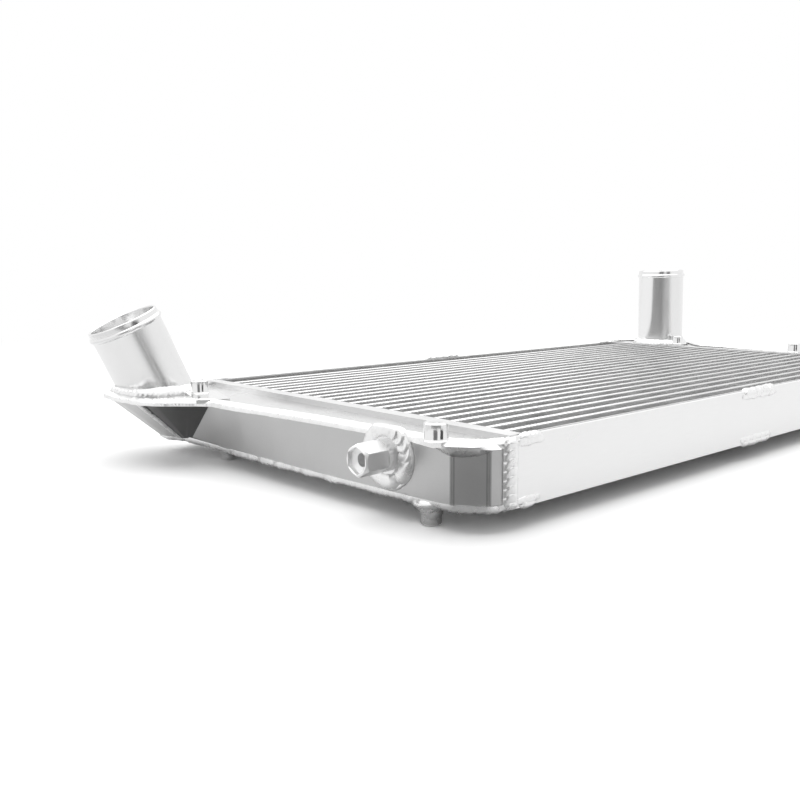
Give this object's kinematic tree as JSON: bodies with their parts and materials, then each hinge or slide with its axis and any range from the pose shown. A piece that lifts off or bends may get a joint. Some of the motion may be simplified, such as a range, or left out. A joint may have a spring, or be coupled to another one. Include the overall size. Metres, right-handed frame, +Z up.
{
  "type": "intercooler",
  "caption": "Air-to-air intercooler: a flat core of tubes and fins between two welded sheet tanks, with two hose pipes, threaded bosses and locating pegs.",
  "frame": {"origin": "middle of the bounding box's base, on the plane of the peg ends", "axes": "+X along the core from the inlet tank to the outlet tank, +Y along the tanks towards the pipes, +Z up along the upright pipe"},
  "size_m": [0.7759, 0.3756, 0.1457],
  "materials": {
    "tube": "bright rounded noses",
    "fin": "thin corrugated sheet",
    "core_sheet": "plain sheet",
    "side_plate": "fine brushed",
    "header": "machined",
    "tank_sheet": "satin sheet with weld stains",
    "pipe": "polished",
    "machined": "machined",
    "plug": "turned",
    "weld": "bright rippled weld"
  },
  "bodies": {
    "root": {"tube_01": "tube", "tube_02": "tube", "tube_03": "tube", "tube_04": "tube", "tube_05": "tube", "tube_06": "tube", "tube_07": "tube", "tube_08": "tube", "tube_09": "tube", "tube_10": "tube", "tube_11": "tube", "tube_12": "tube", "tube_13": "tube", "tube_14": "tube", "tube_15": "tube", "tube_16": "tube", "tube_17": "tube", "tube_18": "tube", "tube_19": "tube", "tube_20": "tube", "tube_21": "tube", "tube_22": "tube", "fins": "fin", "end_sheet_front": "core_sheet", "end_sheet_rear": "core_sheet", "side_plate_front": "side_plate", "side_plate_rear": "side_plate", "inlet_header": "header", "outlet_header": "header", "inlet_tank_wall": "tank_sheet", "inlet_tank_top": "tank_sheet", "inlet_tank_bottom": "tank_sheet", "outlet_tank_wall": "tank_sheet", "outlet_tank_top": "tank_sheet", "outlet_tank_bottom": "tank_sheet", "inlet_pipe": "pipe", "outlet_pipe": "pipe", "port_bung": "machined", "inlet_front_tab": "machined", "inlet_rear_tab": "machined", "outlet_front_tab": "machined", "outlet_rear_tab": "machined", "inlet_front_boss": "machined", "inlet_rear_boss": "machined", "outlet_front_boss": "machined", "outlet_rear_boss": "machined", "inlet_front_peg": "machined", "inlet_rear_peg": "machined", "outlet_front_peg": "machined", "outlet_rear_peg": "machined", "port_plug": "plug", "inlet_tank_welds": "weld", "outlet_tank_welds": "weld", "inlet_pipe_weld": "weld", "outlet_pipe_weld": "weld", "port_weld": "weld", "side_plate_tacks": "weld"}
  },
  "joints": []
}
